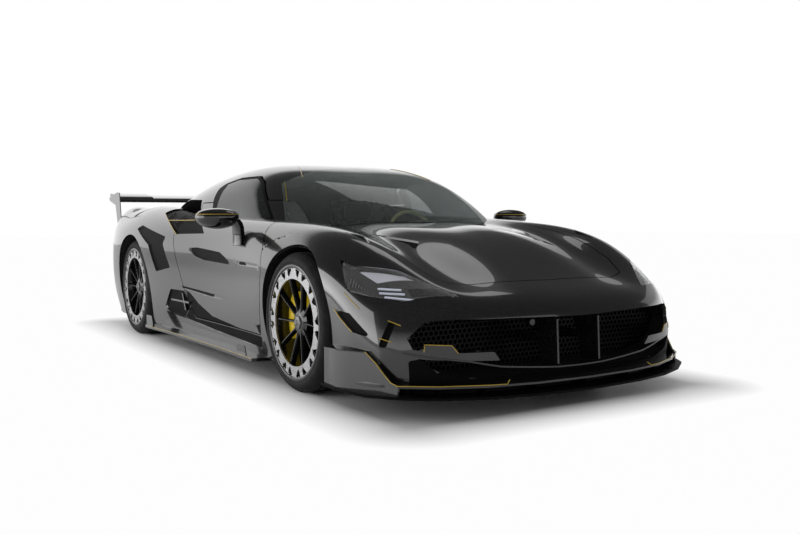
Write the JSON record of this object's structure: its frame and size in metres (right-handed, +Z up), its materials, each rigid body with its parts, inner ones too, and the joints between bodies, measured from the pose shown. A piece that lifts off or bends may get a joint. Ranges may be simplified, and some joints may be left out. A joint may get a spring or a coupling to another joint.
{
  "type": "sports car",
  "caption": "Low mid-engined two-seat sports car with a closed cabin, wide wheel arches, deep splitter and skirts, a tall rear wing, opening doors and lids, and steered wheels.",
  "frame": {"origin": "on the ground, midway along the overall length, on the car's middle plane", "axes": "+X towards the nose, +Y to the car's left, +Z up"},
  "size_m": [4.782, 2.2756, 1.1947],
  "materials": {
    "paint": "gloss black lacquer",
    "aero": "glossy dark composite",
    "chassis": "dark satin",
    "screen_glass": "clear, faintly green",
    "side_glass": "dark tint",
    "lamp_lens": "clear lens",
    "tail_lens": "dark red lens",
    "grille": "matt black mesh",
    "steel": "satin",
    "alloy": "cast, matt",
    "caliper": "gloss yellow",
    "disc": "machined, dark",
    "rim": "gloss black",
    "tyre": "matt black rubber",
    "seat_leather": "black with pale piping",
    "wheel_leather": "black and pale yellow",
    "trim": "matt black"
  },
  "bodies": {
    "body": {"tub": "chassis", "nose_box": "chassis", "wheelhouses": "trim", "fenders": "paint", "rear_quarters": "paint", "side_skirts": "paint", "bumper_front": "paint", "bumper_rear": "paint", "splitter": "aero", "diffuser": "aero", "rear_wing": "aero", "roof": "paint", "windscreen": "screen_glass", "headlamps": "lamp_lens", "tail_lamps": "tail_lens", "front_grille": "grille", "door_hinges": "steel", "suspension": "alloy", "rear_calipers": "caliper", "engine": "alloy", "seats": "seat_leather", "dashboard": "trim", "exhaust_tips": "steel"},
    "knuckle_left": {"knuckle_front_left": "alloy", "caliper_front_left": "caliper"},
    "knuckle_right": {"knuckle_front_right": "alloy", "caliper_front_right": "caliper"},
    "wheel_front_left": {"tyre_front_left": "tyre", "rim_front_left": "rim", "disc_front_left": "disc"},
    "wheel_front_right": {"tyre_front_right": "tyre", "rim_front_right": "rim", "disc_front_right": "disc"},
    "wheel_rear_left": {"tyre_rear_left": "tyre", "rim_rear_left": "rim", "disc_rear_left": "disc"},
    "wheel_rear_right": {"tyre_rear_right": "tyre", "rim_rear_right": "rim", "disc_rear_right": "disc"},
    "door_left": {"door_left": "paint", "door_glass_left": "side_glass", "mirror_left": "paint"},
    "door_right": {"door_right": "paint", "door_glass_right": "side_glass", "mirror_right": "paint"},
    "front_lid": {"front_lid": "paint"},
    "engine_cover": {"engine_cover": "paint"},
    "steering_wheel": {"steering_wheel": "wheel_leather"}
  },
  "joints": [
    {"name": "steer_left", "type": "hinge", "parent": "body", "child": "knuckle_left", "pos_m": [1.2995, 0.8, 0.343], "axis": [0, 0, 1], "range_deg": [-28, 28]},
    {"name": "steer_right", "type": "hinge", "parent": "body", "child": "knuckle_right", "pos_m": [1.2995, -0.8, 0.343], "axis": [0, 0, 1], "range_deg": [-28, 28]},
    {"name": "spin_front_left", "type": "hinge", "parent": "knuckle_left", "child": "wheel_front_left", "pos_m": [1.2995, 0.82, 0.343], "axis": [0, 1, 0], "continuous": true},
    {"name": "spin_front_right", "type": "hinge", "parent": "knuckle_right", "child": "wheel_front_right", "pos_m": [1.2995, -0.82, 0.343], "axis": [0, 1, 0], "continuous": true},
    {"name": "spin_rear_left", "type": "hinge", "parent": "body", "child": "wheel_rear_left", "pos_m": [-1.3495, 0.8, 0.349], "axis": [0, 1, 0], "continuous": true},
    {"name": "spin_rear_right", "type": "hinge", "parent": "body", "child": "wheel_rear_right", "pos_m": [-1.3495, -0.8, 0.349], "axis": [0, 1, 0], "continuous": true},
    {"name": "turn_steering_wheel", "type": "hinge", "parent": "body", "child": "steering_wheel", "pos_m": [0.3695, 0.37, 0.73], "axis": [-0.9272, 0, 0.3746], "range_deg": [-336, 336]},
    {"name": "open_door_left", "type": "hinge", "parent": "body", "child": "door_left", "pos_m": [0.7675, 0.905, 0.5], "axis": [0, 0, -1], "range_deg": [0, 65]},
    {"name": "open_door_right", "type": "hinge", "parent": "body", "child": "door_right", "pos_m": [0.7675, -0.905, 0.5], "axis": [0, 0, 1], "range_deg": [0, 65]},
    {"name": "open_front_lid", "type": "hinge", "parent": "body", "child": "front_lid", "pos_m": [0.8695, 0, 0.832], "axis": [0, -1, 0], "range_deg": [0, 60]},
    {"name": "open_engine_cover", "type": "hinge", "parent": "body", "child": "engine_cover", "pos_m": [-0.7605, 0, 1.129], "axis": [0, 1, 0], "range_deg": [0, 50]}
  ],
  "couplings": [
    {"joint": "steer_right", "follows": "steer_left", "ratio": 1},
    {"joint": "turn_steering_wheel", "follows": "steer_left", "ratio": 12}
  ]
}
